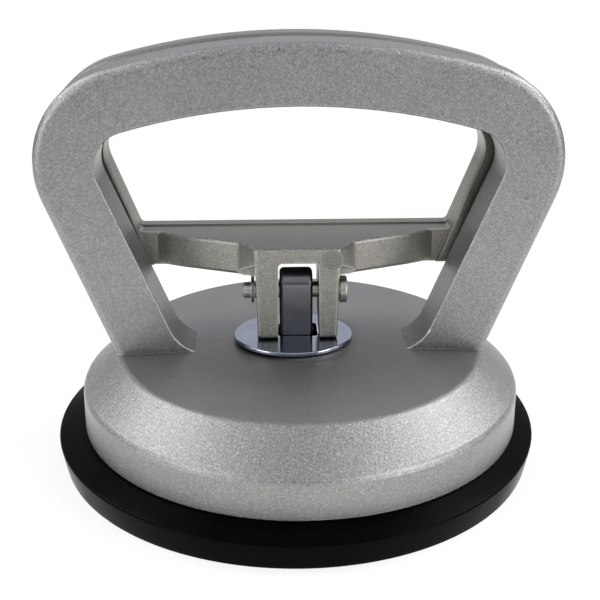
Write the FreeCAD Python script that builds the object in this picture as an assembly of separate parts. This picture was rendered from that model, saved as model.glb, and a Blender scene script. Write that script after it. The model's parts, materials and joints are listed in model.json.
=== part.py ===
import FreeCAD, Part

import math
import os

V = FreeCAD.Vector

# Single cup suction lifter for floor tiles. A cast body carries the fixed handle and presses on the
# outer ring of a rubber pad. A cast lever behind the handle turns on a pin through a square drawbar,
# and its fork foot works as a cam on the pressure washer, so it pulls the middle of the pad up.
# Z is up, the pad seals at Z = 0, X runs along the handle and the lever lies on the +Y side.

# Suction pad
PAD_SEAL_R = 60.0
PAD_EDGE_R = 61.0
PAD_EDGE_Z = 6.6
PAD_SEAT_Z = 8.64
PAD_RING_R = 46.0
PAD_DOME = 3.0
PAD_DOME_FLAT_R = 17.0
DIAPHRAGM_T = 3.4
PAD_HUB_R = 19.0
PAD_HUB_Z = 12.0
PAD_HUB_FILLET = 2.5
SEAL_GROOVE_W = 1.4
SEAL_GROOVE_DEPTH = 0.7
SEAL_GROOVE_R = (49.0, 52.2, 55.4)

# Steel plate inside the pad
PLATE_R = 15.0
PLATE_T = 2.5
PLATE_Z = 6.4
RIVET_HEAD_R = 4.4
RIVET_HEAD_T = 0.9
TENON_R = 2.9
RUBBER_GAP = 0.05

# Cast body
SKIRT_R = 55.3
RIM_R = 55.2
RIM_Z = 18.5
DECK_R = 45.8
DECK_EDGE_Z = 27.0
DECK_CROWN = 1.1
BOSS_R = 12.8
BOSS_FOOT_R = 15.4
BOSS_H = 0.8
BOSS_SOFT_R = 2.5
RIM_ROUND = 2.4
DECK_ROUND = 2.8
SKIRT_WALL = 3.5
DECK_WALL = 3.8
HUB_R = 12.0
HUB_Z = 17.5
RIB_COUNT = 8
RIB_T = 2.8
RIB_Z = 15.0

# Fixed handle, one flat band with an arched top
HALF_W = 62.6
CROWN_Z = 102.9
ARCH_R = 167.0
CORNER_R = 23.2
LEAN_DEG = 21.0
BAND_W = 14.5
LEG_SPREAD = 1.0
HANDLE_FRONT_Y = -7.8
HANDLE_BACK_Y = 5.3
OUTER_ROUND = 2.2
INNER_ROUND = 0.5
FOOT_FILLET = 9.5
FOOT_DEPTH = 2.2

# Pull lever, a loop of the same outline behind the handle
LOOP_HALF_W = 61.7
LOOP_FRONT_Y = 7.4
LOOP_BACK_Y = 18.0
CROSSBAR_FRONT_Y = 10.0
CROSSBAR_TOP_Z = 53.8
CROSSBAR_H = 9.2
SILL_CORNER_R = 1.2
LOOP_CORNER_R = 6.0
LIP_T = 3.2
LIP_H = 0.5

# Block between the crossbar and the fork, half widths and depths of its outline seen from above
BLOCK_FRONT_Y = -5.3
BLOCK_CORNER_R = 1.6
SHOULDER_X = 14.4
SHOULDER_Y = 1.1
SHOULDER_R = 3.0
WING_MID_X = 29.0
WING_MID_Y = 6.9
WING_MID_R = 6.0
WING_END_X = 35.7
BLOCK_ROUND = 1.0
WEB_RISE = 4.5
EJECTOR_D = 5.3
EJECTOR_PROUD = 0.15
EJECTOR_X = 8.55
EJECTOR_DROP = 2.84

# Fork
FORK_HALF_W = 10.35
FORK_FOOT_HALF_W = 9.95
WINDOW_HALF_W = 5.05
WINDOW_FOOT_HALF_W = 5.3
WINDOW_DRAFT = 0.25
WINDOW_SHIFT_X = 0.3
WINDOW_ABOVE_BAR = 2.9
WINDOW_CORNER_R = 1.1
WINDOW_BACK_Y = 8.6
FORK_FOOT_Y = -6.3
FORK_BACK_Y = 6.5
FORK_ROUND = 0.8
FOOT_CORNER_R = 1.0
FORK_OVERLAP = 2.0
CUT_PAST = 5.0

# Pivot and cam
PIVOT_ABOVE_WASHER = 11.0
PIN_D = 4.0
PIN_HEAD_D = 6.8
PIN_HEAD_T = 1.9
PIN_TAIL = 2.2
PIN_RUN = 0.06
SIDE_PLAY = 0.35
HEAD_CLEAR = 0.4
CLIP_T = 0.75
CLIP_OD = 7.2
CLIP_GROOVE_D = 3.2
CLIP_MOUTH_DEG = 100.0
OPEN_DEG = 40.0
STROKE = 2.9
CAM_GAP = 0.15
CAM_STEPS = 12

# Pressure washer and drawbar
WASHER_HALF_X = 15.0
WASHER_HALF_Y = 13.05
WASHER_T = 1.0
WASHER_EDGE_ROUND = 0.3
BAR_W = 8.2
BAR_D = 7.6
BAR_HEAD_RISE = 5.8
BAR_EDGE_ROUND = 1.1
BAR_SIDE_GAP = 0.5
SLOT_CORNER_R = 1.0

# The loose pieces rest a little off the middle of the body, inside their play
PAD_SHIFT_X = -1.05
LEVER_SHIFT_X = -0.8
WASHER_SHIFT_X = -1.76
WASHER_SHIFT_Y = -1.6
HOLE_X = -0.65
SLOT_PLAY_X = 0.2 - PAD_SHIFT_X
PAD_LOCATOR_GAP = 0.3 - PAD_SHIFT_X
HOLE_PLAY_X = 0.5 + HOLE_X - PAD_SHIFT_X
HOLE_PLAY_Y = 0.5

# Heights and sizes that follow
BOSS_Z = DECK_EDGE_Z + DECK_CROWN + BOSS_H
WASHER_Z = BOSS_Z + WASHER_T
PIVOT_Z = WASHER_Z + PIVOT_ABOVE_WASHER
PIN_R = PIN_D / 2.0
CAM_H = PIVOT_ABOVE_WASHER - CAM_GAP
CAM_K = STROKE / math.radians(OPEN_DEG)
LEAN = math.radians(LEAN_DEG)
BAR_BOTTOM_Z = CROSSBAR_TOP_Z - CROSSBAR_H
SILL_Z = CROSSBAR_TOP_Z - LIP_H
WINDOW_TOP_Z = PIVOT_Z + BAR_HEAD_RISE + WINDOW_ABOVE_BAR
SLOT_W = BAR_W + 2 * (BAR_SIDE_GAP + SLOT_PLAY_X)
SLOT_D = BAR_D + 2 * BAR_SIDE_GAP
INNER_R = SKIRT_R - SKIRT_WALL
CHAMFER_SLOPE = (DECK_EDGE_Z - RIM_Z) / (RIM_R - DECK_R)


def deck_z(r):
    """Height of the crowned deck at radius r."""
    return DECK_EDGE_Z + DECK_CROWN * (DECK_R - r) / (DECK_R - BOSS_FOOT_R)


def xz(u, v):
    return V(u, 0, v)


def xy(u, v):
    return V(u, v, 0)


def yz(u, v):
    return V(0, u, v)


def rounded_wire(points, place):
    """Closed wire through (u, v, radius) corners, each rounded by its radius."""
    n = len(points)
    ends = []
    edges = []
    for i in range(n):
        prev = V(*points[i - 1][:2], 0)
        here = V(*points[i][:2], 0)
        after = V(*points[(i + 1) % n][:2], 0)
        r = points[i][2]
        if r == 0:
            ends.append((here, here))
            continue
        a = (prev - here).normalize()
        b = (after - here).normalize()
        half = a.getAngle(b) / 2.0
        back = r / math.tan(half)
        centre = here + (a + b).normalize() * (r / math.sin(half))
        mid = centre + (here - centre).normalize() * r
        start = here + a * back
        stop = here + b * back
        ends.append((start, stop))
        edges.append(Part.Arc(place(start.x, start.y), place(mid.x, mid.y), place(stop.x, stop.y)).toShape())
    for i in range(n):
        p = ends[i][1]
        q = ends[(i + 1) % n][0]
        if (q - p).Length > 1e-6:
            edges.append(Part.makeLine(place(p.x, p.y), place(q.x, q.y)))
    return Part.Wire(Part.__sortEdges__(edges))


def rounded_face(points, place):
    return Part.Face(rounded_wire(points, place))


def revolved(points):
    """Solid of revolution about Z from (radius, z, rounding) corners."""
    return rounded_face(points, xz).revolve(V(0, 0, 0), V(0, 0, 1), 360)


def moved(shape, x=0.0, y=0.0, z=0.0):
    copy = shape.copy()
    copy.translate(V(x, y, z))
    return copy


def band_path(inset, half_w):
    """Points of the right half of a band outline of this half width, moved in by inset."""
    corner = CORNER_R - inset
    arch = ARCH_R - inset
    cx = half_w - CORNER_R
    arch_z = CROWN_Z - ARCH_R
    cz = arch_z + math.sqrt((ARCH_R - CORNER_R) ** 2 - cx ** 2)
    toward = math.atan2(cz - arch_z, cx)
    middle = (toward - LEAN) / 2.0
    return {
        "crown": (0.0, arch_z + arch),
        "shoulder": (arch * math.cos(toward), arch_z + arch * math.sin(toward)),
        "corner_mid": (cx + corner * math.cos(middle), cz + corner * math.sin(middle)),
        "leg_top": (cx + corner * math.cos(LEAN), cz - corner * math.sin(LEAN)),
    }


def leg_x(inset, z, half_w):
    """X of the leg line of the band at height z."""
    top = band_path(inset, half_w)["leg_top"]
    return top[0] - (top[1] - z) * math.tan(LEAN)


def arch_edges(inset, half_w):
    """Edges from the left leg top over the crown to the right leg top."""
    p = band_path(inset, half_w)
    right = {k: xz(v[0], v[1]) for k, v in p.items()}
    left = {k: xz(-v[0], v[1]) for k, v in p.items()}
    return [
        Part.Arc(left["leg_top"], left["corner_mid"], left["shoulder"]).toShape(),
        Part.Arc(left["shoulder"], right["crown"], right["shoulder"]).toShape(),
        Part.Arc(right["shoulder"], right["corner_mid"], right["leg_top"]).toShape(),
    ]


def chain(points):
    return [Part.makeLine(a, b) for a, b in zip(points, points[1:]) if (b - a).Length > 1e-6]


def foot_arc(side, r, foot_z):
    """Fillet between the inner leg line, which spreads a little downwards, and the deck."""
    top = band_path(BAND_W, HALF_W)["leg_top"]
    corner_x = leg_x(BAND_W, foot_z, HALF_W) - LEG_SPREAD
    lean = math.atan2(top[0] - corner_x, top[1] - foot_z)
    turn = math.pi / 2.0 - lean
    back = r * math.tan(turn / 2.0)
    high = (corner_x + back * math.sin(lean), foot_z + back * math.cos(lean))
    low = (corner_x - back, foot_z)
    centre = (low[0], foot_z + r)
    angle = -math.pi / 2.0 + turn / 2.0
    mid = (centre[0] + r * math.cos(angle), centre[1] + r * math.sin(angle))
    a = xz(side * high[0], high[1])
    b = xz(side * low[0], low[1])
    return Part.Arc(a, xz(side * mid[0], mid[1]), b).toShape(), a, b


def handle_solid():
    """Arched band that ends inside the deck, with its long edges rounded."""
    foot_z = DECK_EDGE_Z + 0.2
    end_z = DECK_EDGE_Z - FOOT_DEPTH
    outer = band_path(0, HALF_W)
    inner = band_path(BAND_W, HALF_W)
    edges = arch_edges(0, HALF_W) + arch_edges(BAND_W, HALF_W)
    for side in (-1, 1):
        arc, high, low = foot_arc(side, FOOT_FILLET, foot_z)
        edges.append(arc)
        edges += chain([xz(side * inner["leg_top"][0], inner["leg_top"][1]), high])
        edges += chain([
            low,
            xz(low.x, end_z),
            xz(side * leg_x(0, end_z, HALF_W), end_z),
            xz(side * outer["leg_top"][0], outer["leg_top"][1]),
        ])
    wire = Part.Wire(Part.__sortEdges__(edges))
    wire.translate(V(0, HANDLE_FRONT_Y, 0))
    solid = Part.Face(wire).extrude(V(0, HANDLE_BACK_Y - HANDLE_FRONT_Y, 0))
    return round_band(solid, HANDLE_FRONT_Y, HANDLE_BACK_Y, end_z + 0.1, FOOT_DEPTH + 0.3)


def in_band_outline(point, inset):
    """Distance of a point from the band outline at this inset, beside the legs and over the arch."""
    p = band_path(0, HALF_W)
    cx = HALF_W - CORNER_R
    arch_z = CROWN_Z - ARCH_R
    cz = p["leg_top"][1] + CORNER_R * math.sin(LEAN)
    x = abs(point.x)
    if math.atan2(point.z - arch_z, x) >= math.atan2(cz - arch_z, cx):
        return abs(math.hypot(x, point.z - arch_z) - (ARCH_R - inset))
    if math.atan2(point.z - cz, x - cx) > -LEAN:
        return abs(math.hypot(x - cx, point.z - cz) - (CORNER_R - inset))
    return abs((x - leg_x(inset, point.z, HALF_W)) * math.cos(LEAN))


def round_band(solid, front_y, back_y, low_z, reach):
    """Round the long front and back edges of a band, more on the outside than on the inside."""
    outer = []
    inner = []
    for edge in solid.Edges:
        mid = edge.valueAt((edge.FirstParameter + edge.LastParameter) / 2.0)
        flat = abs(edge.BoundBox.YMax - edge.BoundBox.YMin) < 1e-6
        if not flat or min(abs(mid.y - front_y), abs(mid.y - back_y)) > 1e-6 or mid.z < low_z:
            continue
        if in_band_outline(mid, 0) < 0.01:
            outer.append(edge)
        elif in_band_outline(mid, BAND_W) < LEG_SPREAD or mid.z < DECK_EDGE_Z + FOOT_FILLET:
            if mid.z > low_z + reach:
                inner.append(edge)
    solid = solid.makeFillet(OUTER_ROUND, outer)
    again = []
    for edge in solid.Edges:
        mid = edge.valueAt((edge.FirstParameter + edge.LastParameter) / 2.0)
        for old in inner:
            ref = old.valueAt((old.FirstParameter + old.LastParameter) / 2.0)
            if (ref - mid).Length < 1e-4:
                again.append(edge)
    return solid.makeFillet(INNER_ROUND, again)


def body_casting():
    """Deck, chamfer and skirt with hub, ribs and the handle in one casting."""
    outside = revolved([
        (0, PAD_SEAT_Z, 0),
        (SKIRT_R, PAD_SEAT_Z, 0.5),
        (RIM_R, RIM_Z, RIM_ROUND),
        (DECK_R, DECK_EDGE_Z, DECK_ROUND),
        (BOSS_FOOT_R, deck_z(BOSS_FOOT_R), BOSS_SOFT_R),
        (BOSS_R, BOSS_Z, BOSS_SOFT_R),
        (0, BOSS_Z, 0),
    ])
    lift = DECK_WALL / math.cos(math.atan(CHAMFER_SLOPE))
    ceiling = DECK_EDGE_Z - DECK_WALL
    turn_z = RIM_Z + CHAMFER_SLOPE * (RIM_R - INNER_R) - lift
    turn_r = INNER_R - (ceiling - turn_z) / CHAMFER_SLOPE
    hollow = revolved([
        (0, PAD_SEAT_Z - 1, 0),
        (INNER_R, PAD_SEAT_Z - 1, 0),
        (INNER_R, turn_z, 1.5),
        (turn_r, ceiling, 2.0),
        (0, ceiling, 0),
    ])
    core = Part.makeCylinder(HUB_R, BOSS_Z - HUB_Z, V(0, 0, HUB_Z))
    ribs = []
    for i in range(RIB_COUNT):
        rib = Part.makeBox(INNER_R + 1, RIB_T, DECK_EDGE_Z - RIB_Z, V(0, -RIB_T / 2.0, RIB_Z))
        rib.rotate(V(0, 0, 0), V(0, 0, 1), (i + 0.5) * 360.0 / RIB_COUNT)
        ribs.append(rib)
    web = core.multiFuse(ribs).common(hollow)
    shell = outside.cut(hollow).fuse(web)
    solid = shell.fuse(handle_solid())
    slot = rounded_face([
        (-SLOT_W / 2.0, -SLOT_D / 2.0, SLOT_CORNER_R),
        (SLOT_W / 2.0, -SLOT_D / 2.0, SLOT_CORNER_R),
        (SLOT_W / 2.0, SLOT_D / 2.0, SLOT_CORNER_R),
        (-SLOT_W / 2.0, SLOT_D / 2.0, SLOT_CORNER_R),
    ], xy).extrude(V(0, 0, CROWN_Z / 2.0))
    return solid.cut(slot).removeSplitter()


def rubber_pad():
    """Disc with a sealing ring, a thin domed middle and a thick hub round the steel plate."""
    top = PAD_DOME + DIAPHRAGM_T
    locator_r = INNER_R - PAD_LOCATOR_GAP
    profile = revolved([
        (0, PAD_DOME, 0),
        (PAD_DOME_FLAT_R, PAD_DOME, 6.0),
        (PAD_RING_R, 0, 4.0),
        (PAD_SEAL_R - 0.2, 0, 0.3),
        (PAD_SEAL_R, 1.0, 0.3),
        (PAD_EDGE_R, PAD_EDGE_Z, 0.6),
        (SKIRT_R + 0.3, PAD_SEAT_Z, 0.2),
        (locator_r, PAD_SEAT_Z, 0),
        (locator_r - 0.3, PAD_SEAT_Z + 1.6, 0.4),
        (locator_r - 3.0, PAD_SEAT_Z + 1.6, 0.8),
        (locator_r - 5.0, top, 1.5),
        (PAD_HUB_R + 1.2, top, PAD_HUB_FILLET),
        (PAD_HUB_R, PAD_HUB_Z, 1.0),
        (0, PAD_HUB_Z, 0),
    ])
    g = RUBBER_GAP
    pocket = Part.makeCylinder(PLATE_R + g, PLATE_T + 2 * g, V(0, 0, PLATE_Z - g))
    below = PLATE_Z - RIVET_HEAD_T - g
    pocket = pocket.fuse(Part.makeCylinder(RIVET_HEAD_R + g, PLATE_Z - below, V(0, 0, below)))
    neck_r = math.hypot(BAR_W, BAR_D) / 2.0 + BAR_SIDE_GAP
    pocket = pocket.fuse(Part.makeCylinder(neck_r, PAD_HUB_Z - PLATE_Z, V(0, 0, PLATE_Z)))
    pad = profile.cut(pocket.removeSplitter())
    for r in SEAL_GROOVE_R:
        groove = rounded_face([
            (r - SEAL_GROOVE_W / 2.0, -0.5, 0),
            (r + SEAL_GROOVE_W / 2.0, -0.5, 0),
            (r + SEAL_GROOVE_W / 3.0, SEAL_GROOVE_DEPTH, 0),
            (r - SEAL_GROOVE_W / 3.0, SEAL_GROOVE_DEPTH, 0),
        ], xz).revolve(V(0, 0, 0), V(0, 0, 1), 360)
        pad = pad.cut(groove)
    return moved(pad, PAD_SHIFT_X)


def pad_insert_plate():
    """Steel disc in the pad, with the hole for the drawbar tenon."""
    plate = Part.makeCylinder(PLATE_R, PLATE_T, V(0, 0, PLATE_Z))
    edges = [e for e in plate.Edges if len(e.Vertexes) == 1]
    plate = plate.makeFillet(0.4, edges)
    hole = Part.makeCylinder(TENON_R + 0.02, PLATE_T + 2, V(0, 0, PLATE_Z - 1))
    return moved(plate.cut(hole), PAD_SHIFT_X)


def drawbar():
    """Rectangular bar with a rounded head and a tenon riveted over under the plate."""
    half = BAR_D / 2.0
    head_z = PIVOT_Z + BAR_HEAD_RISE
    shoulder = PLATE_Z + PLATE_T
    rise = head_z - half
    edges = chain([yz(-half, rise), yz(-half, shoulder), yz(half, shoulder), yz(half, rise)])
    edges.append(Part.Arc(yz(half, rise), yz(0, head_z), yz(-half, rise)).toShape())
    wire = Part.Wire(Part.__sortEdges__(edges))
    wire.translate(V(-BAR_W / 2.0, 0, 0))
    bar = Part.Face(wire).extrude(V(BAR_W, 0, 0))
    long_edges = []
    for edge in bar.Edges:
        box = edge.BoundBox
        if box.XMax - box.XMin < 1e-6 and box.ZMax > shoulder + 1:
            long_edges.append(edge)
    bar = bar.makeFillet(BAR_EDGE_ROUND, long_edges)
    bar = bar.cut(Part.makeCylinder(PIN_R + PIN_RUN, 2 * BAR_W, V(-BAR_W, 0, PIVOT_Z), V(1, 0, 0)))
    tenon = Part.makeCylinder(TENON_R, PLATE_T + 1, V(0, 0, PLATE_Z))
    head = Part.makeCylinder(RIVET_HEAD_R, RIVET_HEAD_T, V(0, 0, PLATE_Z - RIVET_HEAD_T))
    low_edge = [e for e in head.Edges if len(e.Vertexes) == 1 and e.BoundBox.ZMax < PLATE_Z - 0.1]
    head = head.makeFillet(0.5, low_edge)
    return moved(bar.multiFuse([tenon, head]).removeSplitter(), PAD_SHIFT_X)


def pressure_washer():
    """Flat oval washer on the boss, with a hole for the drawbar behind its middle."""
    turn = Part.Ellipse(V(0, 0, BOSS_Z), WASHER_HALF_X, WASHER_HALF_Y).toShape()
    disc = Part.Face(Part.Wire(turn)).extrude(V(0, 0, WASHER_T))
    rims = [e for e in disc.Edges if e.BoundBox.ZMax - e.BoundBox.ZMin < 1e-6]
    disc = moved(disc.makeFillet(WASHER_EDGE_ROUND, rims), WASHER_SHIFT_X, WASHER_SHIFT_Y)
    half_x = BAR_W / 2.0 + HOLE_PLAY_X
    half_y = BAR_D / 2.0 + HOLE_PLAY_Y
    hole = rounded_face([
        (-half_x, -half_y, SLOT_CORNER_R),
        (half_x, -half_y, SLOT_CORNER_R),
        (half_x, half_y, SLOT_CORNER_R),
        (-half_x, half_y, SLOT_CORNER_R),
    ], xy).extrude(V(0, 0, WASHER_Z + WASHER_T))
    return disc.cut(moved(hole, HOLE_X))


def cam_point(theta):
    """Touching point of the cam foot at lever angle theta, measured from the pin."""
    h = CAM_H - CAM_K * theta
    y = h * math.sin(theta) - CAM_K * math.cos(theta)
    z = -h * math.cos(theta) - CAM_K * math.sin(theta)
    return y, z


def fork_side_face():
    """Side view of the fork: flat foot, rolling cam, and the flat that stops the open lever."""
    opened = math.radians(OPEN_DEG)
    steps = [opened * i / CAM_STEPS for i in range(CAM_STEPS + 1)]
    curve = [yz(y, PIVOT_Z + z) for y, z in map(cam_point, steps)]
    spline = Part.BSplineCurve()
    start = V(0, 1, 0)
    stop = V(0, math.cos(opened), math.sin(opened))
    spline.interpolate(Points=curve, InitialTangent=start, FinalTangent=stop, Scale=True)
    last_y, last_z = cam_point(opened)
    run = (FORK_BACK_Y - last_y) / math.cos(opened)
    heel = yz(FORK_BACK_Y, PIVOT_Z + last_z + run * math.sin(opened))
    foot_z = PIVOT_Z - CAM_H
    top_z = BAR_BOTTOM_Z + FORK_OVERLAP
    edges = [spline.toShape()]
    edges += chain([
        curve[-1],
        heel,
        yz(FORK_BACK_Y, top_z),
        yz(FORK_FOOT_Y - CUT_PAST, top_z),
        yz(FORK_FOOT_Y - CUT_PAST, foot_z),
        curve[0],
    ])
    return Part.Face(Part.Wire(Part.__sortEdges__(edges)))


def fork_solid():
    """Two tapered arms under the block, with rounded corners, cut to the cam profile below."""
    foot_z = PIVOT_Z - CAM_H
    top_z = BAR_BOTTOM_Z + FORK_OVERLAP
    top_half = FORK_HALF_W
    top_y = BLOCK_FRONT_Y
    far_y = FORK_BACK_Y + CUT_PAST
    front = rounded_face([
        (-FORK_FOOT_HALF_W, foot_z, FOOT_CORNER_R),
        (FORK_FOOT_HALF_W, foot_z, FOOT_CORNER_R),
        (top_half, top_z, 0),
        (-top_half, top_z, 0),
    ], xz)
    side = rounded_face([
        (FORK_FOOT_Y, foot_z - CUT_PAST, 0),
        (FORK_FOOT_Y, foot_z, 0),
        (top_y, top_z, 0),
        (top_y, top_z + CUT_PAST, 0),
        (far_y, top_z + CUT_PAST, 0),
        (far_y, foot_z - CUT_PAST, 0),
    ], yz)
    wide = 2 * (top_half + CUT_PAST)
    arms = moved(front, 0, FORK_FOOT_Y - CUT_PAST).extrude(V(0, far_y - FORK_FOOT_Y + CUT_PAST, 0))
    arms = arms.common(moved(side, -wide / 2.0).extrude(V(wide, 0, 0)))
    rims = []
    for edge in arms.Edges:
        box = edge.BoundBox
        if box.YMax < top_y + 0.01 and box.XMax - box.XMin < FORK_HALF_W and box.ZMax > foot_z + 0.01:
            rims.append(edge)
    arms = arms.makeFillet(FORK_ROUND, rims)
    cam = moved(fork_side_face(), -wide / 2.0).extrude(V(wide, 0, 0))
    return arms.common(cam)


def window_solid():
    """Opening between the fork arms, a little narrower at the back as the mould needs."""
    foot_z = PIVOT_Z - CAM_H - CUT_PAST / 2.0
    start = FORK_FOOT_Y - CUT_PAST
    wires = []
    for y, less in ((start, 0.0), (WINDOW_BACK_Y, WINDOW_DRAFT)):
        face = rounded_face([
            (less - WINDOW_FOOT_HALF_W, foot_z, 0),
            (WINDOW_FOOT_HALF_W - less, foot_z, 0),
            (WINDOW_HALF_W - less, WINDOW_TOP_Z, WINDOW_CORNER_R),
            (less - WINDOW_HALF_W, WINDOW_TOP_Z, WINDOW_CORNER_R),
        ], xz)
        wires.append(moved(face, WINDOW_SHIFT_X, y).OuterWire)
    return Part.makeLoft(wires, True, True)


def loop_wire(inset, bottom, corner):
    """Closed outline of the lever loop, moved in by inset and closed at height bottom."""
    p = band_path(inset, LOOP_HALF_W)
    edges = arch_edges(inset, LOOP_HALF_W)
    turn = math.pi / 2.0 + LEAN
    back = corner * math.tan((math.pi - turn) / 2.0)
    end_x = leg_x(inset, bottom, LOOP_HALF_W)
    lows = []
    for side in (-1, 1):
        on_leg = xz(side * (end_x + back * math.sin(LEAN)), bottom + back * math.cos(LEAN))
        on_base = xz(side * (end_x - back), bottom)
        cx = end_x - back
        cz = bottom + corner
        angle = -math.pi / 2.0 + (math.pi / 2.0 - LEAN) / 2.0
        mid = xz(side * (cx + corner * math.cos(angle)), cz + corner * math.sin(angle))
        edges += chain([xz(side * p["leg_top"][0], p["leg_top"][1]), on_leg])
        edges.append(Part.Arc(on_leg, mid, on_base).toShape())
        lows.append(on_base)
    edges += chain(lows)
    return Part.Wire(Part.__sortEdges__(edges))


def loop_solid():
    """Lever loop with its crossbar set back and a raised lip along the back of the crossbar."""
    depth = LOOP_BACK_Y - LOOP_FRONT_Y
    ring = moved(Part.Face(loop_wire(0, BAR_BOTTOM_Z, LOOP_CORNER_R)), 0, LOOP_FRONT_Y)
    ring = ring.extrude(V(0, depth, 0))
    long_edges = [e for e in ring.Edges if e.BoundBox.YMax - e.BoundBox.YMin < 1e-6]
    ring = ring.makeFillet(OUTER_ROUND, long_edges)
    start = LOOP_FRONT_Y - CUT_PAST
    hole = moved(Part.Face(loop_wire(BAND_W, CROSSBAR_TOP_Z, SILL_CORNER_R)), 0, start)
    ring = ring.cut(hole.extrude(V(0, depth + 2 * CUT_PAST, 0)))
    sill = moved(Part.Face(loop_wire(BAND_W, SILL_Z, SILL_CORNER_R)), 0, start)
    ring = ring.cut(sill.extrude(V(0, depth + CUT_PAST - LIP_T, 0)))
    low_z = BAR_BOTTOM_Z - CUT_PAST
    high_z = CROSSBAR_TOP_Z + CUT_PAST
    front = rounded_face([
        (-leg_x(BAND_W, low_z, LOOP_HALF_W), low_z, 0),
        (leg_x(BAND_W, low_z, LOOP_HALF_W), low_z, 0),
        (leg_x(BAND_W, high_z, LOOP_HALF_W), high_z, 0),
        (-leg_x(BAND_W, high_z, LOOP_HALF_W), high_z, 0),
    ], xz)
    return ring.cut(moved(front, 0, start).extrude(V(0, CROSSBAR_FRONT_Y - start, 0)))


def block_solid():
    """Middle block and the two wings that lead from it to the loop."""
    back = CROSSBAR_FRONT_Y + CUT_PAST / 2.0
    half = [
        (FORK_HALF_W, BLOCK_FRONT_Y, BLOCK_CORNER_R),
        (SHOULDER_X, SHOULDER_Y, SHOULDER_R),
        (WING_MID_X, WING_MID_Y, WING_MID_R),
        (WING_END_X, CROSSBAR_FRONT_Y + 0.2, 0),
        (WING_END_X, back, 0),
    ]
    points = half + [(-x, y, r) for x, y, r in reversed(half)]
    solid = moved(rounded_face(points, xy), 0, 0, BAR_BOTTOM_Z).extrude(V(0, 0, SILL_Z - BAR_BOTTOM_Z))
    rims = []
    for edge in solid.Edges:
        box = edge.BoundBox
        if box.ZMax - box.ZMin > 1e-6 or box.YMax > back - 0.1:
            continue
        rims.append(edge)
    return solid.makeFillet(BLOCK_ROUND, rims).cut(web_cuts())


def web_cuts():
    """What is missing under the shoulders, where only a sloping web joins fork and wing."""
    slope = (WING_MID_Y - SHOULDER_Y) / (WING_MID_X - SHOULDER_X)
    out_x = SHOULDER_X + BLOCK_CORNER_R
    front_y = BLOCK_FRONT_Y - CUT_PAST
    cuts = []
    for side in (-1, 1):
        front = rounded_face([
            (side * FORK_HALF_W, BAR_BOTTOM_Z - CUT_PAST, 0),
            (side * out_x, BAR_BOTTOM_Z - CUT_PAST, 0),
            (side * out_x, BAR_BOTTOM_Z, 0),
            (side * FORK_HALF_W, BAR_BOTTOM_Z + WEB_RISE, 0),
        ], xz)
        above = rounded_face([
            (side * FORK_HALF_W, front_y, 0),
            (side * out_x, front_y, 0),
            (side * out_x, SHOULDER_Y + slope * (out_x - SHOULDER_X), 0),
            (side * FORK_HALF_W, SHOULDER_Y + slope * (FORK_HALF_W - SHOULDER_X), 0),
        ], xy)
        deep = moved(front, 0, front_y).extrude(V(0, LOOP_BACK_Y - front_y, 0))
        high = moved(above, 0, 0, BAR_BOTTOM_Z - CUT_PAST).extrude(V(0, 0, CROSSBAR_H + CUT_PAST))
        cuts.append(deep.common(high))
    return Part.makeCompound(cuts)


def ejector_mark():
    """Round mark that an ejector pin left on the front of the block."""
    face_y = BLOCK_FRONT_Y - EJECTOR_PROUD
    place = V(EJECTOR_X, face_y, SILL_Z - EJECTOR_DROP)
    return Part.makeCylinder(EJECTOR_D / 2.0, CUT_PAST, place, V(0, 1, 0))


def lever_casting():
    """Loop, wings and fork in one casting, with the bore for the pin and room for its head and clip."""
    solid = loop_solid().multiFuse([block_solid(), fork_solid(), ejector_mark()])
    solid = solid.cut(window_solid()).removeSplitter()
    bore = Part.makeCylinder(PIN_R + PIN_RUN, 4 * FORK_HALF_W, V(-2 * FORK_HALF_W, 0, PIVOT_Z), V(1, 0, 0))
    seat_r = PIN_HEAD_D / 2.0 + HEAD_CLEAR
    seat_w = SIDE_PLAY + PIN_HEAD_T + HEAD_CLEAR
    seats = [
        Part.makeCylinder(seat_r, seat_w, V(FORK_HALF_W, 0, PIVOT_Z), V(1, 0, 0)),
        Part.makeCylinder(seat_r, seat_w, V(-FORK_HALF_W, 0, PIVOT_Z), V(-1, 0, 0)),
    ]
    return moved(solid.cut(bore).cut(Part.makeCompound(seats)), LEVER_SHIFT_X)


def arm_outer_x(sign):
    """Widest X of a fork arm beside the pin head or the clip."""
    foot_z = PIVOT_Z - CAM_H - 1
    reach = PIVOT_Z + PIN_HEAD_D / 2.0
    share = min(1.0, (reach - foot_z) / (BAR_BOTTOM_Z - foot_z))
    half = FORK_FOOT_HALF_W + (FORK_HALF_W - FORK_FOOT_HALF_W) * share
    return LEVER_SHIFT_X + sign * half


def pivot_pin():
    """Headed pin with a groove for the retaining clip."""
    head_x = arm_outer_x(1) + SIDE_PLAY
    clip_x = arm_outer_x(-1) - SIDE_PLAY
    tail_x = clip_x - CLIP_T - PIN_TAIL
    chamfer = 0.4
    groove_r = CLIP_GROOVE_D / 2.0
    points = [
        (0, tail_x, 0),
        (PIN_R - chamfer, tail_x, 0),
        (PIN_R, tail_x + chamfer, 0),
        (PIN_R, clip_x - CLIP_T - 0.03, 0),
        (groove_r, clip_x - CLIP_T - 0.03, 0),
        (groove_r, clip_x + 0.03, 0),
        (PIN_R, clip_x + 0.03, 0),
        (PIN_R, head_x, 0),
        (PIN_HEAD_D / 2.0, head_x, 0.2),
        (PIN_HEAD_D / 2.0, head_x + PIN_HEAD_T, 0.5),
        (0, head_x + PIN_HEAD_T, 0),
    ]
    face = rounded_face([(x, r, rad) for r, x, rad in points], xz)
    solid = face.revolve(V(0, 0, 0), V(1, 0, 0), 360)
    return moved(solid, 0, 0, PIVOT_Z)


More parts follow.
